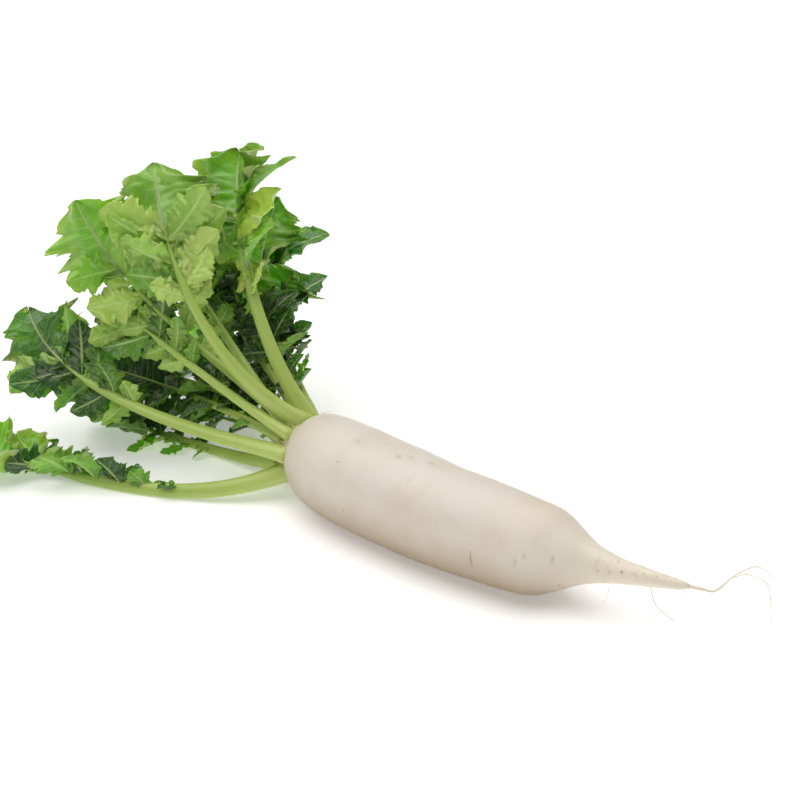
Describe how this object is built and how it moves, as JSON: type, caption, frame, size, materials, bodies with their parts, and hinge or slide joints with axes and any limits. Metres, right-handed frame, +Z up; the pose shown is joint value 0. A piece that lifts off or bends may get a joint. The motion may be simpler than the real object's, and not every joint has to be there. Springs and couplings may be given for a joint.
{
  "type": "daikon radish",
  "caption": "Long white radish root with a tapering tail and fine rootlets, lying on its belly, with a crown of lobed, toothed leaves on pale stalks.",
  "frame": {"origin": "bottom centre of the bounding box of root, rootlets and leaves together, on the surface the radish lies on", "axes": "+X runs along the root from its crown to its tail, the leaves spread towards -X; +Z is up; +Y is to the left of someone looking along +X"},
  "size_m": [0.596, 0.2858, 0.2083],
  "materials": {
    "root": "smooth cream-white skin with a soft sheen",
    "crown": "yellow-green, fibrous",
    "leaf": "soft green leaf with a satin face"
  },
  "bodies": {
    "root": {"root": "root", "crown": "crown", "leaf_floor_near": "leaf", "leaf_side_near": "leaf", "leaf_top_near": "leaf", "leaf_top": "leaf", "leaf_top_far": "leaf", "leaf_side_far": "leaf", "leaf_floor_far": "leaf", "leaf_floor_back": "leaf", "leaf_heart": "leaf", "leaf_mid_far": "leaf", "leaf_low_mid": "leaf", "leaf_right_far": "leaf", "leaf_top_left": "leaf"}
  },
  "joints": []
}
